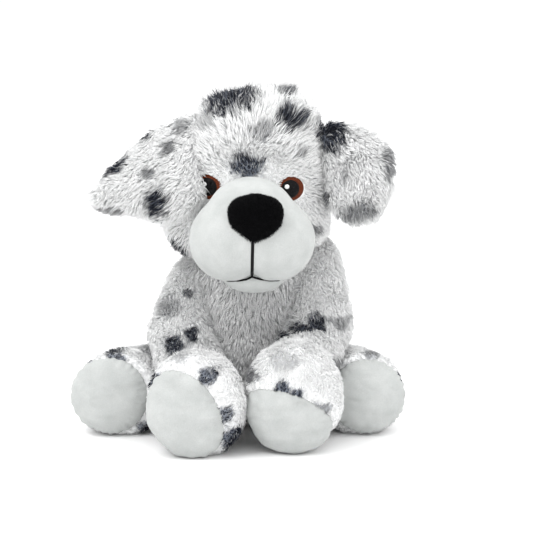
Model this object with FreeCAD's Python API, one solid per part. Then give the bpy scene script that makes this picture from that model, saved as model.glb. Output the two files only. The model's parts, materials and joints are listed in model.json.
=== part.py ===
import FreeCAD, Part
import math
import os

# A seated plush dog.  Millimetres, +Z up, floor at z = 0, the dog looks along -Y.
# The origin is the middle of the flat seat under the torso.  "left" and "right"
# are the dog's own: left limbs are at +X, right limbs at -X.

V = FreeCAD.Vector

# ---------------------------------------------------------------- driving sizes
CLOTH = 2.4            # plush cloth with the packed root of its pile
GAP = 0.6              # clearance between two bodies
BIG = 600.0            # half-space boxes are this large
NEST = 0.3             # two balls at one joint differ by this, so that one sits inside the other

TORSO_TOP = V(8, -4, 146)          # the torso's axis leans from the seat's middle to here
# torso outline: distance up the axis, radius there; the floor cuts it flat at z = 0
TORSO = [(-12, 0), (-8, 36), (8, 56), (36, 62), (74, 58), (106, 50), (126, 39), (138, 20), (144, 0)]
BELLY_Y = -20.0        # the belly panel lies in front of this plane

NECK = V(6, -4, 142)   # the head tips and turns about this point
NECK_R = 25.0

HEAD = V(2, -14, 207)
HEAD_RADII = (61.0, 58.0, 67.0)
GUSSET = 17.0          # half width of the strip from brow to nape

JOWLS = V(4, -83, 168)
JOWLS_RADII = (48.5, 42.0, 33.0)
BRIDGE = V(2, -72, 183)
BRIDGE_RADII = (35.0, 42.0, 28.0)
CHIN = V(5, -72, 139)
CHIN_RADII = (26.0, 29.0, 17.0)
MOUTH_Z = 141.0        # the lip line's height in the middle
LIP_HALF, LIP_DROP = 21.0, 6.0     # the lip line's half length, and its fall in degrees
STITCH_W, STITCH_H = 2.4, 1.1      # satin stitch: width, height over the cloth
NOSE = V(7, -117, 186)
NOSE_RADII = (21.5, 14.0, 19.5)

EYE_X, EYE_Z = 34.0, 203.0         # eye centres, X each side of the head's middle
EYE_RX, EYE_RZ = 11.5, 9.5         # iris half sizes
PUPIL_R, GLINT_R = 6.0, 2.3
EYE_LAYERS = (1.2, 2.2, 2.8)       # outer height of iris, pupil and glint

# ears: root point, tip point, half width, half thickness, direction that the flat faces
EARS = {
    "right": (V(-42, -34, 226), V(-124, -36, 188), 32.0, 8.0, V(-0.25, -0.85, 0.45)),
    "left": (V(60, -24, 240), V(98, -40, 176), 29.0, 8.5, V(0.35, -0.92, 0.10)),
}

# arms: shoulder, elbow, pad centre, direction that the pad faces, lift axis
ARMS = {
    "right": (V(-44, -6, 113), V(-56, -42, 78), V(-45, -147, 39), V(-0.10, -0.98, 0.10),
              V(-0.93, 0.20, -0.31)),
    "left": (V(56, -6, 130), V(64, -42, 88), V(32, -138, 23), V(-0.08, -0.88, -0.42),
             V(-0.93, -0.20, 0.31)),
}
ARM_R = (24.0, 21.5)               # shoulder, elbow
ARM_LIFT = 22.0                    # degrees
# boot-shaped ends: distance behind the pad's middle, radius there
PAW = [(0.0, 0.0), (3.0, 20.0), (9.0, 30.0), (19.0, 35.5), (32.0, 36.5), (48.0, 32.0), (64.0, 25.0)]
PAW_PAD_DEPTH = 9.0

# legs: hip, pad centre, direction that the pad faces, splay axis
LEGS = {
    "right": (V(-42, 6, 33), V(-109, -83, 34), V(-0.22, -0.97, 0.08), V(0, 0, -1)),
    "left": (V(42, 6, 33), V(98, -81, 32), V(0.16, -0.98, 0.0), V(0, 0, 1)),
}
HIP_R = 28.0
LEG_SPLAY = 28.0                   # degrees
FOOT = [(0.0, 0.0), (2.5, 18.0), (8.0, 27.0), (18.0, 32.5), (28.0, 33.0), (42.0, 30.0), (56.0, 26.0)]
FOOT_PAD_DEPTH = 8.0

TAIL_ROOT, TAIL_TIP = V(0, 57, 38), V(0, 99, 76)
TAIL_R = (13.0, 10.0)
TAIL_DIMPLE = 22.0                 # radius of the hollow around the tail, for 25 degrees each way
TAIL_DIMPLE_OUT = 16.0             # distance of its centre from the tail's root, along the tail

PELLET_TOP = 15.0                  # the pellet bag fills the seat up to here


# ------------------------------------------------------------------ solid makers
def half_space(point, normal):
    """Everything on the normal's side of a plane."""
    box = Part.makeBox(BIG, BIG, BIG, V(-BIG / 2, -BIG / 2, 0))
    box.Placement = FreeCAD.Placement(point, FreeCAD.Rotation(V(0, 0, 1), normal))
    return box


def ellipsoid(centre, radii, turn=None):
    ball = Part.makeSphere(1.0)
    size = FreeCAD.Matrix()
    size.scale(V(*radii))
    solid = ball.transformGeometry(size)
    solid.Placement = FreeCAD.Placement(centre, turn or FreeCAD.Rotation())
    return solid


def grown(radii, by):
    return tuple(r + by for r in radii)


def spun(profile_edges, base, direction):
    """A solid of revolution; the profile is drawn with X radial and Z along the axis."""
    face = Part.Face(Part.Wire(profile_edges))
    solid = Part.Solid(face.revolve(V(0, 0, 0), V(0, 0, 1), 360))
    solid.Placement = FreeCAD.Placement(base, FreeCAD.Rotation(V(0, 0, 1), direction))
    return solid


def capsule(a, b, ra, rb):
    """Two balls and the cone that is tangent to both."""
    length = (b - a).Length
    lean = math.asin((ra - rb) / length)
    side, along = math.cos(lean), math.sin(lean)
    start, end = V(0, 0, -ra), V(0, 0, length + rb)
    low = V(ra * side, 0, ra * along)
    high = V(rb * side, 0, length + rb * along)
    half = (math.pi / 2 - lean) / 2
    low_mid = V(ra * math.cos(lean - (math.pi / 2 + lean) / 2), 0,
                ra * math.sin(lean - (math.pi / 2 + lean) / 2))
    high_mid = V(rb * math.cos(lean + half), 0, length + rb * math.sin(lean + half))
    edges = [
        Part.Arc(start, low_mid, low).toShape(),
        Part.makeLine(low, high),
        Part.Arc(high, high_mid, end).toShape(),
        Part.makeLine(end, start),
    ]
    return spun(edges, a, b - a)


def outline(stations, grow, tangents):
    """A smooth profile through (distance, radius) stations that starts on the axis."""
    points = [V(0, 0, stations[0][0] - grow)]
    points += [V(r + grow, 0, s) for s, r in stations[1:]]
    if stations[-1][1] == 0:
        points[-1] = V(0, 0, stations[-1][0] + grow)
    curve = Part.BSplineCurve()
    curve.interpolate(Points=points, InitialTangent=tangents[0], FinalTangent=tangents[1])
    return curve.toShape(), points


def boot(pad_centre, facing, stations, grow):
    """The rounded end of a limb, spun about the line through the middle of its pad."""
    curve, points = outline(stations, grow, (V(1, 0, 0), V(0, 0, 1)))
    end = V(0, 0, points[-1].z)
    edges = [curve, Part.makeLine(points[-1], end), Part.makeLine(end, points[0])]
    return spun(edges, pad_centre, -facing)


def behind(pad_centre, facing, distance):
    return pad_centre - V(facing).normalize() * distance


def fused(solids):
    whole = solids[0].multiFuse(solids[1:]).removeSplitter()
    return whole.Solids[0]


def turned(shape, centre, axis, degrees):
    copy = shape.copy()
    copy.rotate(centre, axis, degrees)
    return copy


# --------------------------------------------------------------------- the forms
def resting(form, grow):
    """The form with its underside pressed flat by the floor."""
    return form.common(half_space(V(0, 0, -grow), V(0, 0, 1)))


def torso_form(grow):
    curve, points = outline(TORSO, grow, (V(1, 0, 0), V(-1, 0, 0)))
    whole = spun([curve, Part.makeLine(points[-1], points[0])], V(0, 0, 0), TORSO_TOP)
    return resting(whole, grow)


def upper_arm_form(side, grow):
    shoulder, elbow, pad, facing, _ = ARMS[side]
    heel = behind(pad, facing, PAW[-1][0])
    return fused([
        capsule(shoulder, elbow, ARM_R[0] + grow, ARM_R[1] + grow),
        capsule(elbow, heel, ARM_R[1] - NEST + grow, PAW[-1][1] + NEST + grow),
    ])


def arm_form(side, grow):
    _, _, pad, facing, _ = ARMS[side]
    return resting(fused([upper_arm_form(side, grow), boot(pad, facing, PAW, grow)]), grow)


def thigh_form(side, grow):
    hip, pad, facing, _ = LEGS[side]
    ankle = behind(pad, facing, FOOT[-1][0])
    return capsule(hip, ankle, HIP_R + grow, FOOT[-1][1] + NEST + grow)


def leg_form(side, grow):
    _, pad, facing, _ = LEGS[side]
    return resting(fused([thigh_form(side, grow), boot(pad, facing, FOOT, grow)]), grow)


def tail_form(grow):
    return capsule(TAIL_ROOT, TAIL_TIP, TAIL_R[0] + grow, TAIL_R[1] + grow)


def head_form(grow):
    return ellipsoid(HEAD, grown(HEAD_RADII, grow))


def muzzle_form(grow):
    return fused([
        ellipsoid(JOWLS, grown(JOWLS_RADII, grow)),
        ellipsoid(BRIDGE, grown(BRIDGE_RADII, grow)),
    ])


def neck_form(grow):
    return Part.makeSphere(NECK_R + grow, NECK)


def ear_form(side):
    root, tip, half_width, half_thick, facing = EARS[side]
    along = V(tip - root).normalize()
    out = V(facing - along * facing.dot(along)).normalize()
    across = out.cross(along)
    turn = FreeCAD.Rotation(along, across, out, "XYZ")
    middle = (root + tip) * 0.5
    radii = ((tip - root).Length / 2 + 4, half_width, half_thick)
    return ellipsoid(middle, radii, turn), middle, out


def write(name, shape, count=1):
    """Save the largest solids; what is left over is thinner than the thread."""
    solids = sorted(shape.Solids, key=lambda s: -s.Volume)[:count]
    if len(solids) < count:
        raise ValueError(name + " lacks a solid")
    kept = solids[0] if count == 1 else Part.makeCompound(solids)
    if not kept.isValid():
        raise ValueError(name + " is not valid")
    kept.exportStep("parts/" + name + ".step")
    box = kept.BoundBox
    print("%-24s %d solid %9.0f mm3  x %.1f..%.1f  y %.1f..%.1f  z %.1f..%.1f" % (
        name, len(solids), kept.Volume, box.XMin, box.XMax, box.YMin, box.YMax, box.ZMin, box.ZMax))


# -------------------------------------------------------------------- the pieces
def make_limb(name, outer, inner, pad_plane, split_plane, panel_names, pad_name):
    """A limb: two cover panels, the smooth pad on its end, and the stuffing."""
    cover = outer.cut(inner)
    pad_room = half_space(*pad_plane)
    rest = cover.cut(pad_room)
    write(pad_name, cover.common(pad_room))
    side_room = half_space(*split_plane)
    write(name + "_cover_" + panel_names[0], rest.common(side_room))
    write(name + "_cover_" + panel_names[1], rest.cut(side_room))
    write(name + "_stuffing", inner)


def make_arms():
    for side, sign in (("right", -1), ("left", 1)):
        shoulder, _, pad, facing, _ = ARMS[side]
        run = pad - shoulder
        outward = V(0, 0, 1).cross(V(run.x, run.y, 0)).normalize() * sign
        make_limb(side + "_arm", arm_form(side, 0), arm_form(side, -CLOTH),
                  (behind(pad, facing, PAW_PAD_DEPTH), facing), ((shoulder + pad) * 0.5, outward),
                  ("outer", "inner"), side + "_paw_pad")


def make_legs():
    for side in ("right", "left"):
        hip, pad, facing, _ = LEGS[side]
        make_limb(side + "_leg", leg_form(side, 0), leg_form(side, -CLOTH),
                  (behind(pad, facing, FOOT_PAD_DEPTH), facing), ((hip + pad) * 0.5, V(0, 0, 1)),
                  ("upper", "lower"), side + "_foot_pad")


def limb_rooms():
    """What the limbs, the tail and the neck sweep through, with clearance."""
    rooms = [neck_form(GAP)]
    for side in ("right", "left"):
        shoulder, lift = ARMS[side][0], ARMS[side][4]
        hip, splay = LEGS[side][0], LEGS[side][3]
        for i in range(3):
            room = GAP + NEST * i
            rooms.append(turned(upper_arm_form(side, room), shoulder, lift, ARM_LIFT * i / 2))
            rooms.append(turned(thigh_form(side, room), hip, splay, LEG_SPLAY * i / 2))
    # the tail wags inside a dimple that two balls press into the back
    mouth = behind(TAIL_ROOT, TAIL_ROOT - TAIL_TIP, TAIL_DIMPLE_OUT)
    rooms += [Part.makeSphere(TAIL_R[0] + GAP, TAIL_ROOT), Part.makeSphere(TAIL_DIMPLE, mouth)]
    return rooms


def make_torso():
    outer, inner = torso_form(0), torso_form(-CLOTH)
    cover, filling = outer.cut(inner), inner
    for room in limb_rooms():
        cover, filling = cover.cut(room), filling.cut(room)
    front = half_space(V(0, BELLY_Y, 0), V(0, -1, 0))
    left = half_space(V(0, 0, 0), V(1, 0, 0))
    back = cover.cut(front)
    write("belly_panel", cover.common(front))
    write("back_panel_left", back.common(left))
    write("back_panel_right", back.cut(left))
    seat = half_space(V(0, 0, PELLET_TOP), V(0, 0, -1))
    write("pellet_bag", filling.common(seat))
    write("torso_stuffing", filling.cut(seat))


def make_neck():
    write("neck_stuffing", neck_form(0))


def make_head():
    outer, inner = head_form(0), head_form(-CLOTH)
    muzzle, muzzle_in = muzzle_form(0), muzzle_form(-CLOTH)
    chin = ellipsoid(CHIN, CHIN_RADII).cut(muzzle).cut(outer)
    room = neck_form(GAP)
    cover = outer.cut(inner).cut(muzzle).cut(room)
    left = half_space(HEAD + V(GUSSET, 0, 0), V(1, 0, 0))
    right = half_space(HEAD - V(GUSSET, 0, 0), V(-1, 0, 0))
    write("head_panel_left", cover.common(left))
    write("head_panel_right", cover.common(right))
    write("head_gusset", cover.cut(left).cut(right))
    write("head_stuffing", inner.cut(room))
    write("muzzle_cover", muzzle.cut(muzzle_in).cut(inner))
    write("muzzle_stuffing", muzzle_in.cut(inner))
    write("chin", chin)
    nose = ellipsoid(NOSE, NOSE_RADII).cut(muzzle)
    write("nose", nose)
    make_mouth(muzzle, chin, nose)
    make_eyes()


def make_mouth(muzzle, chin, nose):
    """Satin stitching, drawn on the muzzle's skin: an upright bar and two lips."""
    thread = muzzle_form(STITCH_H).cut(muzzle).cut(nose)
    middle = JOWLS.x + 1
    front = V(middle - STITCH_W / 2, JOWLS.y - BIG, MOUTH_Z)
    upright = Part.makeBox(STITCH_W, BIG, NOSE.z - MOUTH_Z, front)
    write("mouth_stitch_upright", thread.common(upright))
    lips = []
    for sign in (-1, 1):
        bar = Part.makeBox(LIP_HALF, BIG, STITCH_W, V(min(sign, 0) * LIP_HALF, -BIG - 80, -STITCH_W))
        bar.rotate(V(0, 0, 0), V(0, 1, 0), sign * LIP_DROP)
        bar.translate(V(middle, 0, MOUTH_Z))
        lips.append(max(thread.common(bar).cut(chin).cut(upright).Solids, key=lambda s: s.Volume))
    write("mouth_stitch_lips", Part.makeCompound(lips), 2)


def make_eyes():
    socket = muzzle_form(0.3)
    skins = [head_form(h) for h in (0,) + EYE_LAYERS]
    layers = [skins[i + 1].cut(skins[i]).cut(socket) for i in range(3)]
    for side, sign in (("right", -1), ("left", 1)):
        centre = V(sign * EYE_X, 0, EYE_Z)
        glint = centre + V(-2.6, 0, 2.2)
        rods = (rod(centre, EYE_RX, EYE_RZ), rod(centre, PUPIL_R, PUPIL_R), rod(glint, GLINT_R, GLINT_R))
        for layer, bar, piece in zip(layers, rods, ("iris", "pupil", "glint")):
            write("%s_eye_%s" % (side, piece), layer.common(bar))


def rod(centre, rx, rz):
    """An elliptical bar towards the front."""
    ring = Part.Ellipse(V(0, 0, 0), rx, rz) if rx > rz else Part.Circle(V(0, 0, 0), V(0, 0, 1), rx)
    bar = Part.Face(Part.Wire(ring.toShape())).extrude(V(0, 0, 90))
    bar.Placement = FreeCAD.Placement(centre, FreeCAD.Rotation(V(1, 0, 0), 90))
    return bar


def make_ears():
    clear_head = head_form(2.2)
    for side in ("right", "left"):
        form, middle, out = ear_form(side)
        form = form.cut(clear_head)
        front = half_space(middle, out)
        write(side + "_ear_front", form.common(front))
        write(side + "_ear_back", form.cut(front))


def make_tail():
    outer, inner = tail_form(0), tail_form(-CLOTH)
    write("tail_cover", outer.cut(inner))
    write("tail_stuffing", inner)


os.makedirs("parts", exist_ok=True)
make_torso()
make_neck()
make_head()
make_ears()
make_arms()
make_legs()
make_tail()
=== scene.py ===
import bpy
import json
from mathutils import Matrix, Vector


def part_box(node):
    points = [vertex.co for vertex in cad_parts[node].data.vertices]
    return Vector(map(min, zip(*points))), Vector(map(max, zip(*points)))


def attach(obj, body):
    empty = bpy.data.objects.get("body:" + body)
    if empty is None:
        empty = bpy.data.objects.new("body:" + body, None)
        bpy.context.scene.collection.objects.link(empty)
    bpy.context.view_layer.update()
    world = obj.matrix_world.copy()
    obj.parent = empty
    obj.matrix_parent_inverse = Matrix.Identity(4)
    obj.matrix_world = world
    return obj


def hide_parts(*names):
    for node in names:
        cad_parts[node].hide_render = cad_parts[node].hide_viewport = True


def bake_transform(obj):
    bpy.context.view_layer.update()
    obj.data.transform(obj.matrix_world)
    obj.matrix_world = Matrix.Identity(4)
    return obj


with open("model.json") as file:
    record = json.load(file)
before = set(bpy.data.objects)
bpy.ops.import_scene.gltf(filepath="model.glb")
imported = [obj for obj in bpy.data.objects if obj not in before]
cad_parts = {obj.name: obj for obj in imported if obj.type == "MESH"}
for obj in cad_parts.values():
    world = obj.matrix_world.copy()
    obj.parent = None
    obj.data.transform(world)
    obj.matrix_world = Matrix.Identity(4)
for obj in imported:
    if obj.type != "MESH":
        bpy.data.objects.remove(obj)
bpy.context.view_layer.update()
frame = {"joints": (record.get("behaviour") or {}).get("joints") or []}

import json
import math

import bmesh
import bpy
import numpy as np
from mathutils import Matrix, Vector
from mathutils.bvhtree import BVHTree
from mathutils.kdtree import KDTree

# A seated plush dog.  Lengths are in millimetres here and become metres when a mesh is made.
# +Z up, the dog looks along -Y, "left" and "right" are the dog's own (left is +X).

MM = 0.001
SIDES = (("right", -1), ("left", 1))
# ten triangles each, under the export's limit for one piece
STRANDS_A_PIECE = 19500  # ten triangles each; the pile is cut into pieces of at most this many strands
PILE_SINK = 0.7  # strands start this far under the cloth
PALE_SHARE, PALE_DYE = 0.10, 0.4  # this share of the strands takes so little of the dye
BALL_GAP = 4.0  # between the balls that make up a limb or an ear
FLOOR_CLEARANCE = 0.8  # nothing on the dog is lower than this

WHITE = (0.98, 0.985, 0.985)
SPOT = (0.008, 0.010, 0.018)
SPOT_GREY = (0.16, 0.18, 0.22)


# ------ places, from the frame
def span(*nodes):
    """Lowest corner, highest corner, middle and half size of some CAD nodes, in millimetres."""
    low = np.min([np.array(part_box(n)[0]) for n in nodes], axis=0) / MM
    high = np.max([np.array(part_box(n)[1]) for n in nodes], axis=0) / MM
    return low, high, (low + high) / 2, (high - low) / 2


def joint_place(name):
    """Where a joint's axis is, in millimetres."""
    joint = next(j for j in frame["joints"] if j["name"] == name)
    return np.array(joint["pos_m"], float) / MM


def unit(v):
    v = np.asarray(v, float)
    return v / np.maximum(np.linalg.norm(v, axis=-1, keepdims=True), 1e-9)


_, _, HEAD, HEAD_R = span("head_panel_left", "head_panel_right", "head_gusset")
_, _, MUZZLE, MUZZLE_R = span("muzzle_cover")
_, _, CHIN, CHIN_R = span("chin")
NOSE_LOW, _, NOSE, NOSE_R = span("nose")
TORSO_R = span("belly_panel", "back_panel_left", "back_panel_right")[3]
NECK = joint_place("head_nod")
SHOULDER, HIP, EAR_ROOT = ({side: joint_place(side + joint) for side, _ in SIDES}
                           for joint in ("_arm_lift", "_leg_splay", "_ear_lift"))
TAIL_ROOT = joint_place("tail_wag")
PAW_PAD, FOOT_PAD = ({side: span(side + pad)[2] for side, _ in SIDES}
                     for pad in ("_paw_pad", "_foot_pad"))


# ------ noise
def waves(points, size, seed, octaves=3):
    """Smooth vector noise of about that wavelength, each part from -1 to 1."""
    rng = np.random.default_rng(seed)
    total = np.zeros((len(points), 3))
    weight = 0.0
    for octave in range(octaves):
        for _ in range(4):
            turn = rng.normal(size=(3, 3))
            turn = unit(turn) * (2 * math.pi / size) * 1.8 ** octave
            total += np.sin(points @ turn.T + rng.uniform(0, 2 * math.pi, 3)) * 0.7 ** octave
        weight += 2.0 * 0.7 ** octave
    return np.clip(total / weight, -1, 1)


def smooth_step(low, high, value):
    t = np.clip((value - low) / (high - low), 0, 1)
    return t * t * (3 - 2 * t)


# ------ mesh helpers
def new_object(name, data):
    obj = bpy.data.objects.new(name, data)
    bpy.context.scene.collection.objects.link(obj)
    return obj


def from_arrays(name, points, faces):
    mesh = bpy.data.meshes.new(name)
    mesh.from_pydata([tuple(p) for p in np.asarray(points) * MM], [], [tuple(f) for f in faces])
    mesh.update()
    smooth(mesh)
    return new_object(name, mesh)


def smooth(mesh):
    mesh.polygons.foreach_set("use_smooth", np.ones(len(mesh.polygons), bool))


def baked(obj):
    """Apply every modifier."""
    graph = bpy.context.evaluated_depsgraph_get()
    mesh = bpy.data.meshes.new_from_object(obj.evaluated_get(graph))
    obj.modifiers.clear()
    old, obj.data = obj.data, mesh
    bpy.data.meshes.remove(old)
    smooth(mesh)
    return obj


def fetched(items, label, kind=np.float32):
    """One property of every item of a mesh, as rows of three."""
    values = np.zeros(len(items) * 3, kind)
    items.foreach_get(label, values)
    return values.reshape(-1, 3)


def points_of(obj):
    return fetched(obj.data.vertices, "co").astype(float) / MM


def set_points(obj, points):
    obj.data.vertices.foreach_set("co", (points * MM).astype(np.float32).ravel())
    obj.data.update()


def normals_of(obj):
    return fetched(obj.data.vertices, "normal").astype(float)


def triangles_of(obj):
    obj.data.calc_loop_triangles()
    return fetched(obj.data.loop_triangles, "vertices", np.int32)


def set_values(mesh, label, values):
    """Store a number on each point of a mesh, for the materials to read."""
    layer = mesh.attributes.new(label, "FLOAT", "POINT")
    layer.data.foreach_set("value", values.astype(np.float32))


def ball(centre, radii):
    """An ellipsoid: its middle and half sizes, or one radius."""
    radii = (radii,) * 3 if np.isscalar(radii) else radii
    return np.array(centre, float), np.array(radii, float)


def chain(stations):
    """Balls strung along a line of (point, radius) stations."""
    balls = []
    for (a, ra), (b, rb) in zip(stations, stations[1:]):
        a, b = np.array(a, float), np.array(b, float)
        count = max(2, int(np.linalg.norm(b - a) / BALL_GAP))
        for i in range(count):
            t = i / count
            balls.append(ball(a + (b - a) * t, ra + (rb - ra) * smooth_step(0, 1, t)))
    balls.append(ball(*stations[-1]))
    return balls


def blob(name, balls, voxel, rounds=12):
    """One closed skin around many balls: voxel is its mesh size, rounds is how much it is smoothed."""
    bm = bmesh.new()
    for centre, radii in balls:
        where = Matrix.Translation(Vector(centre * MM)) @ Matrix.Diagonal((*(radii * MM), 1.0))
        bmesh.ops.create_icosphere(bm, subdivisions=3, radius=1.0, matrix=where)
    mesh = bpy.data.meshes.new(name)
    bm.to_mesh(mesh)
    bm.free()
    obj = new_object(name, mesh)
    remesh = obj.modifiers.new("skin", "REMESH")
    remesh.mode, remesh.voxel_size = "VOXEL", voxel * MM
    relax = obj.modifiers.new("relax", "SMOOTH")
    relax.factor, relax.iterations = 0.5, rounds
    return baked(obj)


def flatten_underside(obj):
    """The dog sits on the floor."""
    points = points_of(obj)
    points[:, 2] = np.maximum(points[:, 2], FLOOR_CLEARANCE)
    set_points(obj, points)


# ------ stuffed cloth
CLOTH = 1.2  # thickness of the cloth
PINNED = 4.0  # the cloth is held this near to a seam
PRESSURE = 3.5
STUFFED_FRAMES = 20
MOST_SWELL = 4.0  # millimetres that stuffing may push the cloth out


def pin_near(obj, distance, width):
    """A seam holds the cloth: pin the vertices that are nearer to it than the width."""
    held = 1 - smooth_step(width * 0.4, width, np.abs(distance(points_of(obj))))
    group = obj.vertex_groups.new(name="seam")
    for index in np.nonzero(held > 0.02)[0]:
        group.add([int(index)], float(held[index]), "REPLACE")


def stuff(objects):
    """Press stuffing into sewn cloth: all the forms are simulated together."""
    before = {obj.name: points_of(obj) for obj in objects}
    for obj in objects:
        cloth = obj.modifiers.new("cloth", "CLOTH")
        s = cloth.settings
        s.quality, s.mass = 5, 0.25
        s.tension_stiffness = s.compression_stiffness = 12
        s.shear_stiffness, s.bending_stiffness = 6, 0.4
        s.use_pressure, s.uniform_pressure_force = True, PRESSURE
        s.shrink_min = -0.035
        s.effector_weights.gravity = 0
        if "seam" in obj.vertex_groups:
            s.vertex_group_mass, s.pin_stiffness = "seam", 1.5
        cloth.collision_settings.use_collision = False
        cloth.collision_settings.use_self_collision = False
    scene = bpy.context.scene
    for number in range(1, STUFFED_FRAMES + 1):
        scene.frame_set(number)
    graph = bpy.context.evaluated_depsgraph_get()
    shapes = {obj.name: points_of(obj.evaluated_get(graph)) for obj in objects}
    for obj in objects:
        obj.modifiers.clear()
        move = shapes[obj.name] - before[obj.name]
        length = np.linalg.norm(move, axis=1, keepdims=True)
        move *= np.minimum(1.0, MOST_SWELL / np.maximum(length, 1e-9))
        set_points(obj, before[obj.name] + move)
    scene.frame_set(1)


def refine(obj):
    sub = obj.modifiers.new("sub", "SUBSURF")
    sub.levels = sub.render_levels = 1
    return baked(obj)


def seam_groove(obj, distance, depth, width, pucker, around, count):
    """Pull the cloth in along a seam, with small puckers beside it."""
    points, normals = points_of(obj), normals_of(obj)
    gap = distance(points)
    pull = depth * np.exp(-(gap / width) ** 2)
    ripple = np.sin(around(points) * count + 1.7 * np.sin(around(points) * 5))
    beside = np.exp(-((np.abs(gap) - 1.6 * width) / (1.8 * width)) ** 2)
    pull = pull + pucker * ripple * beside
    set_points(obj, points - normals * pull[:, None])


def crease(obj, inside, depth, size, seed):
    """Shallow, soft creases where the inside test is above 0."""
    points, normals = points_of(obj), normals_of(obj)
    folds = waves(points * [1.0, 1.0, 1.7], size, seed, 2)
    dent = depth * (np.abs(folds[:, 0]) ** 0.7 - 0.45) * smooth_step(0, 9, inside(points))
    set_points(obj, points + normals * dent[:, None])


def plane(point, normal):
    point, normal = np.array(point, float), unit(normal)
    return lambda p: (p - point) @ normal


def split_panels(obj, cuts, label):
    """Cut a skin along seam planes; label(centres, normals) names the panel of each face."""
    bm = bmesh.new()
    bm.from_mesh(obj.data)
    for point, normal in cuts:
        bmesh.ops.bisect_plane(bm, geom=bm.verts[:] + bm.edges[:] + bm.faces[:], dist=1e-6,
                               plane_co=Vector(np.array(point) * MM), plane_no=Vector(unit(normal)))
    bm.faces.ensure_lookup_table()
    centres = np.array([f.calc_center_median() for f in bm.faces]) / MM
    names = label(centres, np.array([f.normal for f in bm.faces]))
    panels = {}
    for name in sorted(set(names)):
        part = bm.copy()
        part.faces.ensure_lookup_table()
        drop = [part.faces[i] for i in np.nonzero(names != name)[0]]
        bmesh.ops.delete(part, geom=drop, context="FACES")
        mesh = bpy.data.meshes.new(name)
        part.to_mesh(mesh)
        part.free()
        smooth(mesh)
        panels[name] = new_object(name, mesh)
    bm.free()
    bpy.data.objects.remove(obj)
    return panels


def thicken(obj):
    """Give a panel the thickness of cloth, so that it is closed."""
    shell = obj.modifiers.new("cloth", "SOLIDIFY")
    shell.thickness, shell.offset = CLOTH * MM, -1.0
    return baked(obj)


# ------ spots
# For the side that faces forwards: (x, y, z) of the middle, half width, half height, tilt in
# degrees seen from the front, and darkness.
HEAD_SPOTS = [
    (-14, -45, 268, 20, 11, 8, 1.0),  # crown
    (-1, -74, 219, 12, 8, -3, 1.0),  # above the muzzle
    (33, -60, 252, 11, 8, -10, 0.9),  # brow
    (30, -20, 273, 6, 4, 0, 0.85),
    (48, -12, 274, 6, 4, 0, 0.85),
    (12, -66, 244, 8, 5, 20, 0.45),
    (39, -66, 227, 4, 3, 0, 0.5),
    (-54, -46, 150, 5, 11, 25, 0.9),  # cheek
    (54, -48, 168, 4, 3, 0, 0.6),
    (63, -25, 243, 11, 12, 0, 1.0),  # beside the left ear
    (-30, -58, 250, 7, 5, 30, 0.4),
]
EAR_SPOTS = {
    "right": [
        (-69, -50, 191, 8, 11, 0, 1.0), (-76, -46, 214, 6, 4, 0, 0.6), (-61, -42, 231, 6, 4, 30, 0.65),
        (-82, -26, 243, 9, 5, 35, 0.95), (-105, -30, 215, 12, 5, 38, 0.95), (-110, -36, 183, 9, 4, 0, 0.6),
        (-51, -36, 248, 6, 5, 0, 0.5),
    ],
    "left": [
        (67, -26, 243, 10, 12, 0, 1.0), (112, -30, 220, 5, 12, 0, 0.6), (88, -44, 183, 13, 6, 10, 0.6),
        (77, -40, 214, 3, 9, 0, 0.25),
    ],
}
TORSO_SPOTS = [
    (-63, -25, 102, 8, 5, 0, 0.6),
    (-51, -30, 115, 4, 3, 0, 0.7),
]
ARM_SPOTS = {
    "right": [
        (-63, -30, 103, 9, 6, 20, 0.35), (-49, -34, 113, 4, 3, 0, 0.8),
        (-45, -55, 84, 5, 4, 0, 0.95), (-59, -60, 76, 7, 6, 20, 0.95),
        (-74, -118, 60, 8, 6, 20, 0.95), (-29, -122, 66, 6, 6, 0, 0.95),
        (-16, -126, 36, 6, 7, -40, 0.9), (-10, -126, 14, 9, 11, 0, 1.0), (-52, -104, 80, 8, 5, 0, 0.25),
    ],
    "left": [
        (34, -48, 80, 6, 6, 30, 0.95), (44, -46, 86, 9, 7, 35, 1.0), (54, -44, 93, 8, 6, 35, 0.95),
        (70, -34, 92, 11, 5, 10, 0.45), (27, -125, 53, 6, 7, 0, 1.0), (38, -125, 50, 5, 6, 0, 1.0),
        (2, -110, 62, 7, 5, 0, 0.7), (56, -116, 38, 8, 6, 0, 0.6), (66, -64, 62, 7, 6, 0, 0.7),
        (30, -100, 74, 9, 5, 0, 0.25),
    ],
}
LEG_SPOTS = {
    "right": [
        (-106, -60, 64, 8, 3, -10, 0.9), (-133, -54, 58, 6, 4, 0, 0.8),
        (-84, -62, 7, 6, 4, 0, 0.9), (-81, -44, 66, 7, 5, 0, 0.5),
    ],
    "left": [
        (74, -50, 66, 5, 4, 0, 0.8), (122, -48, 43, 5, 6, 0, 0.95), (101, -45, 66, 6, 4, 0, 0.5),
    ],
}
SPOT_DEPTH = 30.0  # how far in front of or behind its middle a spot reaches
SPOT_GAP = 9.0  # between two scattered spots
OUT_OF_REACH = 9.0  # added where a spot must not colour
FORWARDS = unit((0, -1, 0.16))
BACKWARDS = -0.1  # a normal with less of FORWARDS than this faces backwards


def scatter_spots(skin, seed, count, sizes=(5.0, 13.0)):
    """Round spots for the stretches that face backwards: middle, radius, darkness."""
    rng = np.random.default_rng(seed)
    points = points_of(skin)
    behind = np.nonzero(normals_of(skin) @ FORWARDS < BACKWARDS)[0]
    spots = []
    for index in rng.choice(behind, count * 6, replace=False):
        if len(spots) == count:
            break
        size = rng.uniform(*sizes)
        if all(np.linalg.norm(points[index] - middle) > size + other + SPOT_GAP
               for middle, other, _ in spots):
            spots.append((points[index], size, rng.uniform(0.6, 1.0)))
    return spots


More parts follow.
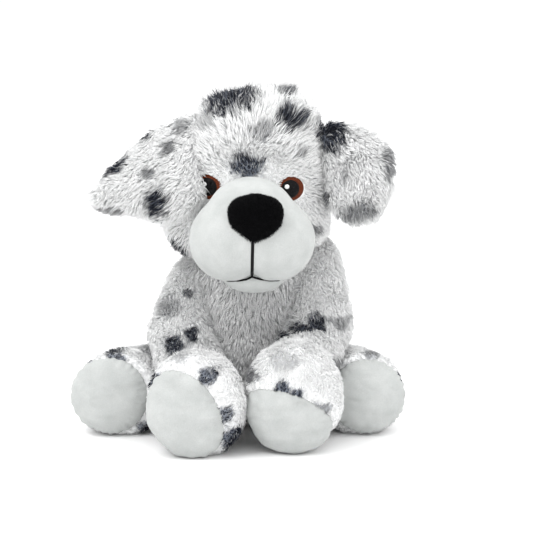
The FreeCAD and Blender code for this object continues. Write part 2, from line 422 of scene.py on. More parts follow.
def spot_value(points, normals, spots):
    """How dark the dye is at each point, from 0 to 1; the spots have ragged edges."""
    ragged = waves(points, 9.0, 5)[:, 0] * 0.34 + waves(points, 3.0, 6)[:, 0] * 0.24
    value = np.zeros(len(points))
    for spot in spots:
        if len(spot) == 3:
            middle, size, dark = spot
            gap = np.linalg.norm(points - np.array(middle), axis=1) / size
        else:
            x, y, z, wide, high, tilt, dark = spot
            c, s = math.cos(math.radians(tilt)), math.sin(math.radians(tilt))
            across, up = points[:, 0] - x, points[:, 2] - z
            gap = np.hypot((across * c + up * s) / wide, (up * c - across * s) / high)
            hidden = (np.abs(points[:, 1] - y) > SPOT_DEPTH) | (normals @ FORWARDS < BACKWARDS)
            gap = gap + OUT_OF_REACH * hidden
        value = np.maximum(value, dark * (1 - smooth_step(0.80, 1.40, gap + ragged)))
    return value


# ------ pile
def triangle_areas(panel):
    points, tris = points_of(panel), triangles_of(panel)
    a, b, c = (points[tris[:, i]] for i in range(3))
    return np.linalg.norm(np.cross(b - a, c - a), axis=1) / 2


def scatter(panel, count, seed):
    """Even random roots on a panel: points, normals."""
    rng = np.random.default_rng(seed)
    points, normals, tris = points_of(panel), normals_of(panel), triangles_of(panel)
    area = triangle_areas(panel)
    steps = (np.arange(count) + rng.random(count)) / count
    pick = np.minimum(np.searchsorted(np.cumsum(area) / area.sum(), steps), len(tris) - 1)
    u, v = rng.random(count), rng.random(count)
    flip = u + v > 1
    u[flip], v[flip] = 1 - u[flip], 1 - v[flip]
    corners = [(tris[pick, i], share[:, None]) for i, share in enumerate((1 - u - v, u, v))]
    roots = sum(points[corner] * share for corner, share in corners)
    facing = sum(normals[corner] * share for corner, share in corners)
    return roots, unit(facing)


def clumped(roots, tips, middles, seed, every, pull=0.5):
    """Draw the strands of each small patch together into a tuft."""
    rng = np.random.default_rng(seed)
    leaders = rng.choice(len(roots), max(2, len(roots) // every), replace=False)
    tree = KDTree(len(leaders))
    for i, leader in enumerate(leaders):
        tree.insert(roots[leader], i)
    tree.balance()
    nearest = leaders[np.array([tree.find(r)[1] for r in roots])]
    strength = pull * rng.uniform(0.6, 1.1, len(roots))[:, None]
    tips = tips + (tips[nearest] - tips) * strength
    middles = middles + (middles[nearest] - middles) * strength * 0.45
    return tips, middles


def pile(name, panel, density, length, flow, spots, seed,
         lie=0.9, curl=0.40, width=0.36, every=9, sweep=24.0, bare=None):
    """Long pile on a panel: a closed, tapering, bent strand for every tuft of fibres.

    density is strands a square millimetre, length(points) is their length, flow(points, normals)
    is the way that they lie, lie is how flat, curl is how far they wander, every is the strands
    in a tuft, sweep is how broad the wandering is, and bare(points) is where nothing grows."""
    count = int(triangle_areas(panel).sum() * density)
    pieces = []
    parts = max(1, math.ceil(count / STRANDS_A_PIECE))
    roots, normals = scatter(panel, count, seed)
    if bare is not None:
        keep = ~bare(roots)
        roots, normals = roots[keep], normals[keep]
        count = len(roots)
    rng = np.random.default_rng(seed + 100)
    along = flow(roots, normals)
    along = unit(along - normals * np.sum(along * normals, axis=1)[:, None])
    wander = waves(roots, sweep, seed + 3) * curl + rng.normal(size=roots.shape) * 0.16
    start = unit(normals * 0.9 + (along + wander) * 0.55 * lie)
    finish = unit(normals * (1.2 - lie) + along * lie + wander * 1.1 + np.array([0, 0, -0.10]))
    size = (length(roots) * rng.uniform(0.72, 1.12, count))[:, None]
    base = roots - normals * PILE_SINK
    middles = base + start * size * 0.5
    tips = middles + finish * size * 0.55
    tips, middles = clumped(roots, tips, middles, seed + 7, every)
    for stations in (base, middles, tips):
        stations[:, 2] = np.maximum(stations[:, 2], FLOOR_CLEARANCE)
    dye = spot_value(roots, normals, spots)
    dye = dye * np.where(rng.random(count) < PALE_SHARE, PALE_DYE, 1.0)
    shade = rng.random(count)
    out = roots - roots.mean(axis=0)
    order = np.argsort(np.arctan2(out[:, 1], out[:, 0]), kind="stable")
    for i, chosen in enumerate(np.array_split(order, parts)):
        piece_name = name if parts == 1 else "%s_%d" % (name, i + 1)
        pieces.append(strand_mesh(piece_name, base[chosen], middles[chosen], tips[chosen], width,
                                  dye[chosen], shade[chosen], rng))
    return pieces


def strand_mesh(name, base, middles, tips, width, dye, shade, rng):
    """Three-sided tapered strands, each closed: base triangle, three sides in two stages, a point."""
    count = len(base)
    run = unit(tips - base)
    side = unit(np.cross(run, rng.normal(size=run.shape)))
    other = np.cross(run, side)
    points = np.zeros((count, 7, 3))
    for k in range(3):
        turn = 2 * math.pi * k / 3
        out = side * math.cos(turn) + other * math.sin(turn)
        points[:, k] = base + out * width
        points[:, 3 + k] = middles + out * width * 0.8
    points[:, 6] = tips
    first = (np.arange(count) * 7)[:, None]
    caps = first + np.array([[0, 2, 1]])
    quads = [first + np.array([[k, (k + 1) % 3, 3 + (k + 1) % 3, 3 + k]]) for k in range(3)]
    ends = [first + np.array([[3 + k, 3 + (k + 1) % 3, 6]]) for k in range(3)]
    loops = np.concatenate([caps] + quads + ends, axis=1)
    sizes = np.tile([3, 4, 4, 4, 3, 3, 3], count)
    starts = np.concatenate([[0], np.cumsum(sizes)[:-1]])
    mesh = bpy.data.meshes.new(name)
    mesh.vertices.add(count * 7)
    mesh.vertices.foreach_set("co", (points * MM).astype(np.float32).ravel())
    mesh.loops.add(loops.size)
    mesh.loops.foreach_set("vertex_index", loops.astype(np.int32).ravel())
    mesh.polygons.add(len(sizes))
    mesh.polygons.foreach_set("loop_start", starts.astype(np.int32))
    mesh.update(calc_edges=True)
    smooth(mesh)
    set_values(mesh, "dye", np.repeat(dye, 7))
    set_values(mesh, "shade", np.repeat(shade, 7))
    # how far along its strand each point is; the pile's material paints shade towards the root from it
    set_values(mesh, "reach", np.tile([0, 0, 0, 0.5, 0.5, 0.5, 1.0], count))
    return new_object(name, mesh)


def paint(panel, spots):
    """Dye the backing with the same spots as its pile."""
    set_values(panel.data, "dye", spot_value(points_of(panel), normals_of(panel), spots))


# ------ materials
class Shader:
    """A node-based material around one Principled shader."""

    def __init__(self, name, roughness, **plain):
        self.material = bpy.data.materials.new(name)
        self.material.use_nodes = True
        self.tree = self.material.node_tree
        self.surface = self.tree.nodes["Principled BSDF"]
        self.surface.inputs["Roughness"].default_value = roughness
        for socket, value in plain.items():
            self.surface.inputs[socket.replace("_", " ")].default_value = value

    def node(self, kind, inputs=None, **settings):
        node = self.tree.nodes.new(kind)
        for key, value in settings.items():
            setattr(node, key, value)
        for key, value in (inputs or {}).items():
            if hasattr(value, "is_output"):
                self.tree.links.new(value, node.inputs[key])
            else:
                node.inputs[key].default_value = value
        return node

    def noise(self, scale, detail=3.0):
        place = self.node("ShaderNodeTexCoord").outputs["Object"]
        inputs = {"Scale": scale, "Detail": detail, "Vector": place}
        return self.node("ShaderNodeTexNoise", inputs).outputs["Fac"]

    def attribute(self, name):
        return self.node("ShaderNodeAttribute", attribute_name=name).outputs["Fac"]

    def ramp(self, factor, stops):
        node = self.node("ShaderNodeValToRGB", {"Fac": factor})
        while len(node.color_ramp.elements) < len(stops):
            node.color_ramp.elements.new(0.5)
        for element, (position, colour) in zip(node.color_ramp.elements, stops):
            element.position, element.color = position, (*colour, 1.0)
        return node.outputs["Color"]

    def mix(self, factor, a, b, blend="MIX"):
        node = self.node("ShaderNodeMixRGB", {"Fac": factor, "Color1": a, "Color2": b}, blend_type=blend)
        return node.outputs["Color"]

    def math(self, operation, a, b):
        return self.node("ShaderNodeMath", {0: a, 1: b}, operation=operation).outputs[0]

    def colour(self, socket):
        self.tree.links.new(socket, self.surface.inputs["Base Color"])
        return self

    def bump(self, height, strength, distance):
        node = self.node("ShaderNodeBump", {"Height": height, "Strength": strength, "Distance": distance})
        self.tree.links.new(node.outputs["Normal"], self.surface.inputs["Normal"])
        return self


def plush_material():
    """White pile dyed with spots; each strand differs a little and is darker at its root, which is painted
    shade where the pile shades itself.
    """
    s = Shader("plush_pile", 0.75, Sheen_Weight=0.08, Sheen_Roughness=0.4, Specular_IOR_Level=0.1)
    shade = s.attribute("shade")
    white = s.ramp(shade, [(0.0, (0.955, 0.96, 0.96)), (0.5, WHITE), (1.0, (0.99, 0.99, 0.99))])
    dark = s.ramp(shade, [(0.0, SPOT), (0.85, (0.018, 0.021, 0.032)), (1.0, SPOT_GREY)])
    streak = s.math("MULTIPLY", s.noise(260.0, 2.0), 0.5)
    dye = s.math("MULTIPLY", s.attribute("dye"), s.math("ADD", streak, 0.85))
    body = s.mix(dye, white, dark)
    # painted shade: each strand is darkened towards its root, where the pile shades itself
    root = s.ramp(s.attribute("reach"), [(0.0, (0.94, 0.945, 0.94)), (0.5, (1, 1, 1)), (1.0, (1, 1, 1))])
    return s.colour(s.mix(1.0, body, root, "MULTIPLY")).material


def backing_material():
    """The knitted cloth under the pile."""
    s = Shader("plush_backing", 0.9, Sheen_Weight=0.2)
    knit = s.noise(900.0, 2.0)
    white = s.ramp(knit, [(0.3, (0.86, 0.865, 0.87)), (0.7, (0.93, 0.935, 0.94))])
    body = s.mix(s.attribute("dye"), white, (*SPOT_GREY, 1.0))
    return s.colour(body).bump(knit, 0.4, 0.0004).material


def smooth_plush_material():
    """Short velvety cloth: fine nap, faint brushed patches."""
    s = Shader("smooth_plush", 0.9, Sheen_Weight=0.15, Sheen_Roughness=0.4, Specular_IOR_Level=0.15)
    nap = s.noise(1500.0, 3.0)
    brushed = s.noise(70.0, 4.0)
    tone = s.mix(0.5, nap, brushed)
    colour = s.ramp(tone, [(0.30, (0.41, 0.425, 0.417)), (0.52, (0.485, 0.50, 0.492)),
                           (0.72, (0.56, 0.57, 0.562))])
    height = s.mix(0.25, nap, brushed)
    return s.colour(colour).bump(height, 0.45, 0.0007).material


def fibre_material(name, roughness, noise, stops, bump, **plain):
    """Cloth or thread of one kind of fibre: fine noise colours it and roughens it."""
    s = Shader(name, roughness, **plain)
    fibre = s.noise(*noise)
    return s.colour(s.ramp(fibre, stops)).bump(fibre, *bump).material


def thread_material(name, dark, light, sheen=0.0):
    """Satin stitching."""
    return fibre_material(name, 0.6, (1800.0, 2.0), [(0.35, dark), (0.65, light)], (0.5, 0.0003),
                          Sheen_Weight=sheen, Specular_IOR_Level=0.12)


# each with the name of its slot
MATERIALS = {
    "pile": ("plush", plush_material()),
    "backing": ("plush", backing_material()),
    "smooth": ("smooth_plush", smooth_plush_material()),
    "nose": ("nose_plush", fibre_material(
        "nose_plush", 0.85, (1300.0, 3.0), [(0.3, (0.0015, 0.0015, 0.002)), (0.7, (0.006, 0.006, 0.007))],
        (0.6, 0.0006), Sheen_Weight=0.02, Sheen_Roughness=0.4, Specular_IOR_Level=0.08)),
    "black": ("black_thread", thread_material(
        "black_thread", (0.002, 0.002, 0.003), (0.008, 0.007, 0.007))),
    "brown": ("brown_thread", thread_material(
        "brown_thread", (0.055, 0.010, 0.004), (0.17, 0.038, 0.012))),
    "white": ("white_thread", thread_material(
        "white_thread", (0.85, 0.85, 0.85), (0.95, 0.95, 0.95), 0.2)),
}


# ------ the forms
def balls_in(centre, half, rows):
    """Balls in a box: middles and half sizes as shares of its half size, then a lift."""
    centre, half = np.array(centre), np.array(half)
    return [ball(centre + half * row[:3] + [0, 0, row[6]], half * row[3:6]) for row in np.array(rows)]


def head_balls():
    return balls_in(HEAD, HEAD_R, [
        (0, 0, 0.04, 0.99, 0.98, 0.94, 0),
        (-0.57, -0.10, -0.53, 0.52, 0.60, 0.46, 0),  # right cheek
        (0.48, -0.10, -0.53, 0.52, 0.60, 0.46, 3),  # left cheek
        (0, -0.35, 0.36, 0.72, 0.60, 0.50, 0),
        (0.38, -0.05, 0.42, 0.50, 0.60, 0.56, 0),
        (0, 0.1, -0.53, 0.66, 0.70, 0.46, -2),
    ])


def muzzle_balls():
    drop = np.array([0, 0, 2.5])
    return balls_in(MUZZLE - drop, MUZZLE_R + drop, [
        (-0.34, -0.02, -0.17, 0.66, 0.94, 0.80, 0),  # right jowl
        (0.34, -0.02, -0.17, 0.66, 0.94, 0.80, 0),  # left jowl
        (-0.02, 0.02, 0.30, 0.70, 0.93, 0.72, 0),
        (0, -0.20, -0.02, 0.62, 0.80, 0.80, 0),
    ])


def torso_balls():
    top = NECK - np.array([0, 0, 14.0])
    return [
        ball((0, 0, 33), (TORSO_R[0] * 1.0, TORSO_R[1] * 0.98, 34)),
        ball((2, 0, 60), (TORSO_R[0] * 0.98, TORSO_R[1] * 0.93, 40)),
        ball((4, -2, 88), (55, 49, 38)),
        ball(top - np.array([0, 0, 10]), (46, 38, 26)),
        ball((SHOULDER["right"] + [8, 0, 0]), 22),
        ball((SHOULDER["left"] - [12, 0, 3]), 22),
    ]


ELBOW = {"right": np.array([-56.0, -42.0, 79.0]), "left": np.array([60.0, -42.0, 86.0])}
# each boot: the way it points, its half width, half height and depth, a shift from the CAD pad,
# and the flat cut that the pad's seam follows: its normal, and how far it is from the boot's front
BOOTS = {
    ("right", "paw"): (unit((-0.10, -0.97, 0.12)), 38.0, 42.0, 30, (2, 0, 3),
                       unit((-0.34, -0.91, -0.22)), 11.5),
    ("left", "paw"): (unit((-0.06, -0.93, -0.30)), 38.0, 41.0, 30, (2, 0, 8),
                      unit((-0.24, -0.74, -0.62)), 12.0),
    ("right", "foot"): (unit((-0.20, -0.97, 0.10)), 37.5, 34.5, 25, (-3, 0, 1),
                        unit((-0.22, -0.97, 0.02)), 13.0),
    ("left", "foot"): (unit((0.16, -0.98, 0.04)), 35.0, 34.0, 25, (0, 0, 1),
                       unit((0.12, -0.98, 0.02)), 13.0),
}
BOOT_SET_BACK = 14  # the boot's middle is this far behind the CAD pad
BOOT_FRONT = 0.60  # how flat its front is, against its depth


def boot_centre(side, end):
    pad, boot = {"paw": PAW_PAD, "foot": FOOT_PAD}[end], BOOTS[side, end]
    return pad[side] + np.array(boot[4]) - boot[0] * BOOT_SET_BACK


def boot_balls(side, end):
    """The round end of a limb: a broad, flattish front, and a heel behind it."""
    facing, wide, high, deep = BOOTS[side, end][:4]
    centre = boot_centre(side, end)
    return [
        ball(centre, (wide, deep * BOOT_FRONT, high)),
        ball(centre - facing * 13, (wide * 0.98, deep, high)),
        ball(centre - facing * 32, (wide * 0.78, deep * 0.9, high * 0.80)),
    ]


def pad_cut(side, end):
    """A point and the normal of the plane that the pad's seam lies in."""
    facing, _, _, deep, _, normal, depth = BOOTS[side, end]
    return boot_centre(side, end) + facing * (deep * BOOT_FRONT) - normal * depth, normal


def arm_balls(side):
    heel = boot_centre(side, "paw") - BOOTS[side, "paw"][0] * 36
    inward = 6 if side == "right" else -6
    return chain([
        (SHOULDER[side] + [inward, 3, 0], 23), (SHOULDER[side] + [inward * 0.6, 0, 0], 23),
        (ELBOW[side], 23), (heel, 25),
    ]) + boot_balls(side, "paw")


def leg_balls(side):
    ankle = boot_centre(side, "foot") - BOOTS[side, "foot"][0] * 32
    thigh = chain([(HIP[side], 29), ((HIP[side] + ankle) / 2, 30), (ankle + [0, 0, 2], 30)])
    return thigh + boot_balls(side, "foot")


def tail_stations():
    """Root, bend and tip."""
    high = span("tail_cover")[1]
    tip = np.array([TAIL_ROOT[0], high[1] - 11, high[2] - 11])
    bend = (TAIL_ROOT + tip) / 2 + np.array([0, 5, -3])
    return TAIL_ROOT, bend, tip


# ------ pieces
def place(piece, body, material, nodes=(), blend=None, fill=None):
    """Give a piece its material, hide the CAD nodes that it stands for, and hang it on its body, unless it
    blends across a joint: then it stays where it is, on no body. fill is not used.
    """
    slot, shader = MATERIALS[material]
    piece.data.materials.append(shader)
    if nodes:
        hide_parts(*nodes)
    if blend:
        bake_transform(piece)
    else:
        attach(piece, body)


def dress(panels, body, inner, blend=None, seed=0, **pile_args):
    """Plush panels: knitted backing with its pile.

    inner names the hidden nodes that a panel stands for, besides its own."""
    for i, (name, panel) in enumerate(panels.items()):
        furs = pile(name + "_pile", panel, seed=seed + i, **pile_args)
        thicken(panel)
        paint(panel, pile_args["spots"])
        nodes = (name.replace("_skin", ""),) + inner.get(name, ())
        place(panel, body, "backing", nodes, blend, fill=0.7)
        for fur in furs:
            place(fur, body, "pile", (), blend)


# ------ build
DOWN = [0.0, 0.0, -1.0]
BELLY_SEAM = -20.0  # y of the seam between the belly panel and the back
GUSSET_HALF = 17.0  # half the width of the strip over the head
# the two long edges of each ear from the head outwards, as drooping curves
EAR_EDGES = {
    "right": (
        [(-44, -34, 252), (-65, -32, 244), (-85, -28, 230), (-100, -28, 215), (-112, -30, 202),
         (-119, -34, 192)],
        [(-40, -62, 198), (-50, -64, 186), (-66, -58, 181), (-82, -50, 184), (-100, -41, 186),
         (-117, -36, 187)],
    ),
    "left": (
        [(66, -16, 243), (84, -18, 243), (100, -20, 235), (112, -26, 222), (111, -32, 200),
         (101, -38, 182)],
        [(62, -34, 238), (66, -38, 224), (69, -41, 208), (71, -43, 194), (76, -45, 184),
         (86, -44, 178)],
    ),
}
EAR_TIP = {"right": np.array([-124.0, -36.0, 186.0]), "left": np.array([98.0, -40.0, 174.0])}
EAR_FACING = {"right": unit((-0.25, -0.85, 0.45)), "left": unit((0.35, -0.92, 0.10))}
EAR_FOLD = {"right": 9.0, "left": 8.0}  # how far the middle stands out from the edges
EAR_HALF_CLOTH = 5.6  # half the flap's thickness
EYE_SHIFT = {"right": (2.5, -0.5), "left": (0.0, -2.2)}  # from the CAD eye, across and up


def even(value):
    """The same length everywhere."""
    return lambda points: np.full(len(points), float(value))


def steady(direction):
    """Pile that lies the same way everywhere."""
    return lambda points, normals: np.tile(direction, (len(points), 1))


def build_torso(skin):
    middle = NECK[0] * 0.5
    cuts = [((0, BELLY_SEAM, 0), (0, 1, 0)), ((middle, 0, 0), (1, 0, 0))]

    def label(c, n):
        back = np.where(c[:, 0] > middle, "back_panel_left_skin", "back_panel_right_skin")
        return np.where(c[:, 1] < BELLY_SEAM, "belly_panel_skin", back)

    def flow(p, n):
        return DOWN + unit(p - [0, 0, 90]) * 0.1

    def length(p):
        return 9.0 + 4.0 * smooth_step(40, 110, p[:, 2])

    spots = TORSO_SPOTS + scatter_spots(skin, 21, 16)
    dress(split_panels(skin, cuts, label), "torso", {"belly_panel_skin": ("torso_stuffing", "pellet_bag")},
          seed=30, density=0.75, length=length, flow=flow, spots=spots, lie=0.85, curl=0.3)


def build_head(skin):
    cuts = [((HEAD[0] - GUSSET_HALF, 0, 0), (1, 0, 0)), ((HEAD[0] + GUSSET_HALF, 0, 0), (1, 0, 0))]
    nose_top = np.array([MUZZLE[0], MUZZLE[1] - 30, MUZZLE[2] + 6])
    eyes = [span(side + "_eye_iris") for side, _ in SIDES]

    def label(c, n):
        side = np.where(c[:, 0] > HEAD[0], "head_panel_left_skin", "head_panel_right_skin")
        return np.where(np.abs(c[:, 0] - HEAD[0]) < GUSSET_HALF, "head_gusset_skin", side)

    def flow(p, n):
        """Away from the nose, and down the cheeks."""
        down = np.array(DOWN) * smooth_step(215, 165, p[:, 2])[:, None]
        return unit(p - nose_top) + down * 1.1

    def length(p):
        near = np.linalg.norm((p - MUZZLE) / (MUZZLE_R + 6), axis=1)
        return 4.0 + 7.0 * smooth_step(0.95, 1.6, near) + 2.5 * smooth_step(240, 272, p[:, 2])

    def bare(p):
        """The eyes, and the skin behind the muzzle."""
        inside = np.zeros(len(p), bool)
        for (_, _, mid, half), (right, up) in zip(eyes, EYE_SHIFT.values()):
            across, above = (p[:, 0] - mid[0] - right) / half[0], (p[:, 2] - mid[2] - up) / half[2]
            inside |= np.hypot(across, above) < 0.97
        behind_muzzle = np.linalg.norm((p - MUZZLE) / (MUZZLE_R * 0.9), axis=1) < 1.0
        return (inside & (p[:, 1] < HEAD[1])) | behind_muzzle

    spots = HEAD_SPOTS + scatter_spots(skin, 22, 12)
    dress(split_panels(skin, cuts, label), "head", {"head_gusset_skin": ("head_stuffing",)},
          seed=40, density=0.85, length=length, flow=flow, spots=spots, lie=0.72, curl=0.45, bare=bare)


def build_neck():
    skin = blob("neck_wad", [ball(NECK, (40, 33, 20)), ball(NECK + [0, 0, 8], (38, 30, 20))], 3.5)
    furs = pile("neck_wad_pile", skin, density=0.5, length=even(8.5), flow=steady(DOWN), spots=[],
                seed=51, lie=0.8)
    paint(skin, [])
    place(skin, "neck", "backing", ("neck_stuffing",), fill=0.6)
    for fur in furs:
        place(fur, "neck", "pile")


def build_limb(skin, side, end, pad_plane, split, seed):
    """An arm or a leg: two plush panels, the smooth pad on its end, and pile that runs towards it."""
    limb, halves, root, spots, (long, short) = {
        "paw": ("arm", ("outer", "inner"), SHOULDER[side], ARM_SPOTS[side], (8.5, 5.5)),
        "foot": ("leg", ("upper", "lower"), HIP[side], LEG_SPOTS[side], (8.0, 5.5)),
    }[end]
    body = "%s_%s" % (side, limb)
    pad_node = "%s_%s_pad" % (side, end)
    covers = ["%s_cover_%s_skin" % (body, half) for half in halves]
    pad_point, facing = pad_plane
    rim = plane(pad_point, facing)
    sideways = plane(*split)
    run = unit(pad_point - root)
    blend = ("torso", root, root + run * 30)

    def label(c, n):
        cover = np.where(sideways(c) > 0, covers[0], covers[1])
        return np.where(rim(c) > 0, pad_node + "_skin", cover)

    def flow(p, n):
        clear = smooth_step(4, 26, -rim(p))[:, None]
        return (run + [0, 0, -0.35]) * clear + (n * 1.5 + facing * 0.35) * (1 - clear)

    def length(p):
        near = short + (long - short) * smooth_step(20, 75, -rim(p))
        return near * (0.5 + 0.5 * smooth_step(0, 14, -rim(p)))

    spots = spots + scatter_spots(skin, seed, 4, (4.0, 8.0))
    panels = split_panels(skin, [(pad_point, facing), split], label)
    pad = panels.pop(pad_node + "_skin")
    thicken(pad)
    place(pad, body, "smooth", (pad_node,), blend, fill=0.8)
    dress(panels, body, {min(panels): (body + "_stuffing",)}, blend,
          seed=seed, density=0.80, length=length, flow=flow, spots=spots, lie=0.8, curl=0.45)


def along_curve(stations, t):
    """The point that is the share t of the way through the stations."""
    stations = np.array(stations, float)
    shares = np.linspace(0, 1, len(stations))
    return np.array([np.interp(t, shares, stations[:, i]) for i in range(3)])


def ear_skin(side):
    """A soft flap of two layers of cloth, folded along its length."""
    balls = []
    for t in np.linspace(0, 1, 20):
        upper, lower = (along_curve(edge, t) for edge in EAR_EDGES[side])
        count = max(3, int(np.linalg.norm(upper - lower) / BALL_GAP))
        for u in np.linspace(0, 1, count):
            bulge = EAR_FOLD[side] * math.sin(math.pi * u) * (0.4 + 0.6 * t) * EAR_FACING[side]
            balls.append(ball(upper + (lower - upper) * u + bulge, EAR_HALF_CLOTH))
    return blob(side + "_ear_form", balls, 2.6, 8)


def build_ear(side, seed):
    body = side + "_ear"
    root = EAR_ROOT[side]
    run = unit(EAR_TIP[side] - root)
    skin = ear_skin(side)

    def label(c, n):
        return np.where(n @ EAR_FACING[side] > 0, body + "_front_skin", body + "_back_skin")

    spots = EAR_SPOTS[side] + scatter_spots(skin, seed, 3, (5.0, 8.0))
    dress(split_panels(skin, [], label), body, {}, ("head", root, root + run * 16),
          seed=seed, density=1.0, length=even(9.5), flow=steady(run + [0, 0, -0.3]), spots=spots,
          lie=0.8, curl=0.5)


def build_tail():
    root, bend, tip = tail_stations()
    name = "tail_cover_skin"
    skin = blob(name, chain([(root, 12.5), (bend, 11.5), (tip, 9.0)]), 3.0)
    run = unit(tip - root)
    spots = [((0, 92, 66), 11.0, 0.9), ((6, 72, 50), 7.0, 0.6)]
    dress({name: skin}, "tail", {name: ("tail_stuffing",)}, ("torso", root, root + run * 18),
          seed=81, density=0.6, length=even(8.5), flow=steady(run), spots=spots, lie=0.85, curl=0.5)


# ------ face
def tree_of(*objects):
    """Skins to cast rays at."""
    points, faces, base = [], [], 0
    for obj in objects:
        points += [Vector(p) for p in points_of(obj)]
        faces += [tuple(int(i) + base for i in t) for t in triangles_of(obj)]
        base = len(points)
    return BVHTree.FromPolygons(points, faces)


def onto(tree, x, z):
    """The skin's point and normal at (x, z), seen from the front."""
    hit, normal, _, _ = tree.ray_cast(Vector((x, -400, z)), Vector((0, 1, 0)))
    if hit is None:
        raise ValueError("nothing at %.1f, %.1f" % (x, z))
    return np.array(hit), np.array(normal)


def stitched_bar(name, tree, route, width, height, stitch=0.9):
    """A raised bar of satin stitches that follows the skin along a route of (x, z) points."""
    route = np.array(route, float)
    lengths = np.concatenate([[0], np.cumsum(np.linalg.norm(np.diff(route, axis=0), axis=1))])
    count = int(lengths[-1] / (stitch / 6))
    stations = np.linspace(0, lengths[-1], count)
    xs, zs = np.interp(stations, lengths, route[:, 0]), np.interp(stations, lengths, route[:, 1])
    ring = 10
    points, faces = [], []
    for i, s in enumerate(stations):
        middle, normal = onto(tree, xs[i], zs[i])
        j, k = max(i - 1, 0), min(i + 1, count - 1)
        run = unit(onto(tree, xs[k], zs[k])[0] - onto(tree, xs[j], zs[j])[0])
        across = unit(np.cross(normal, run))
        end = min(1.0, math.sqrt(min(s, lengths[-1] - s) / width + 0.04))
        ridge = 1.0 + 0.12 * math.sin(2 * math.pi * s / stitch)
        for r in range(ring):
            turn = 2 * math.pi * r / ring
            points.append(middle + across * math.cos(turn) * width / 2 * end * (0.94 + 0.06 * ridge)
                          + normal * math.sin(turn) * height * ridge * end)
    for i in range(count - 1):
        for r in range(ring):
            a, b = i * ring + r, i * ring + (r + 1) % ring
            faces.append((a, b, b + ring, a + ring))
    faces.append(tuple(reversed(range(ring))))
    faces.append(tuple(range((count - 1) * ring, count * ring)))
    return from_arrays(name, points, faces)


CORNER_TURN = {False: math.radians(215), True: math.radians(-35)}  # of the left and right eye


def patch(name, tree, x, z, rx, rz, lift, inner_point, ridges):
    """A padded embroidered patch on the skin; the corner towards the nose may draw out to a point."""
    rings, spokes = 16, 96
    faces, top, bottom = [], [], []
    for k in range(rings + 1):
        t = k / rings
        for a in range(spokes):
            turn = 2 * math.pi * a / spokes
            reach = 1.0 + abs(inner_point) * max(0.0, math.cos(turn - CORNER_TURN[inner_point < 0])) ** 6
            px, pz = x + rx * t * reach * math.cos(turn), z + rz * t * reach * math.sin(turn)
            rise = lift * (1 - t ** 6)
            ridge = 0.0
            if ridges:
                ridge = 0.10 * math.sin(ridges * turn + 2 * math.sin(9 * turn)) * t * (1 - t ** 8)
            middle, normal = onto(tree, px, pz)
            top.append(middle + normal * (rise + ridge + 0.15))
            bottom.append(middle - normal * 0.5)
    layer = (rings + 1) * spokes
    for k in range(rings):
        for a in range(spokes):
            p, q = k * spokes + a, k * spokes + (a + 1) % spokes
            faces.append((p, p + spokes, q + spokes, q))
            faces.append((layer + p, layer + q, layer + q + spokes, layer + p + spokes))
    for a in range(spokes):
        p, q = rings * spokes + a, rings * spokes + (a + 1) % spokes
        faces.append((p, p + layer, q + layer, q))
    obj = from_arrays(name, top + bottom, faces)
    bm = bmesh.new()
    bm.from_mesh(obj.data)
    bmesh.ops.remove_doubles(bm, verts=bm.verts[:], dist=1e-7)
    bmesh.ops.recalc_face_normals(bm, faces=bm.faces[:])
    bm.to_mesh(obj.data)
    bm.free()
    smooth(obj.data)
    return obj


def build_eyes(head_tree):
    """Iris, pupil and glint: each is sewn on what is below it."""
    for side, sign in SIDES:
        right, up = EYE_SHIFT[side]
        tree, sewn = head_tree, []
        for part, thread, wide, high, lift, inner_point, ridges in (
                ("iris", "brown", 0.95, 1.05, 1.0, 0.28 * sign, 44),
                ("pupil", "black", 1.22, 1.22, 0.9, 0.0, 30),
                ("glint", "white", 0.8, 0.8, 0.6, 0.0, 0)):
            node = "%s_eye_%s" % (side, part)
            _, _, mid, half = span(node)
            layer = patch("%s_%s" % (side, part), tree, mid[0] + right, mid[2] + up,
                          half[0] * wide, half[2] * high, lift, inner_point, ridges)
            place(layer, "head", thread, (node,))
            sewn = [layer] + sewn
            tree = tree_of(*sewn)


def build_nose():
    middle = np.array([NOSE[0], NOSE_LOW[1] + 13, NOSE[2] - 2.5])
    half = (NOSE_R[0], 1.0, NOSE_R[2])  # depths are in millimetres
    skin = blob("nose_skin", balls_in(middle, half, [
        (-0.34, 0, 0.20, 0.62, 12, 0.66, 0),
        (0.34, 0, 0.20, 0.62, 12, 0.66, 0),
        (0, -0.5, 0.22, 0.78, 13, 0.74, 0),
        (0, 0, -0.10, 0.93, 13, 0.82, 0),
        (0, 1, -0.46, 0.70, 11, 0.70, 0),
    ]), 1.8, 10)

    def flow(p, n):
        return p - (middle - [0, 12, 0])

    furs = pile("nose_pile", skin, density=4.5, length=even(2.6), flow=flow, spots=[],
                seed=61, lie=0.25, curl=0.4, width=0.2, every=5, sweep=5.0)
    place(skin, "head", "nose", ("nose",), fill=0.9)
    for fur in furs:
        place(fur, "head", "nose")


def build_mouth(tree):
    """The stitched line down from the nose, and the lips' line across its end."""
    x = span("mouth_stitch_upright")[2][0]
    _, high, _, (half, _, _) = span("mouth_stitch_lips")
    top, corner = NOSE_LOW[2] - 2, high[2] - 5
    upright = stitched_bar("mouth_upright", tree, [(x, top), (x - 1, corner)], width=2.6, height=0.8)
    place(upright, "head", "black", ("mouth_stitch_upright",))
    route = [(x - half, corner - 3.4), (x - half * 0.6, corner - 3.6), (x - half * 0.25, corner - 2.0),
             (x - 1, corner), (x + half * 0.25, corner - 1.8), (x + half * 0.6, corner - 3.2),
             (x + half, corner - 2.8)]
    lips = stitched_bar("mouth_lips", tree, route, width=1.7, height=0.6)
    place(lips, "head", "black", ("mouth_stitch_lips",))


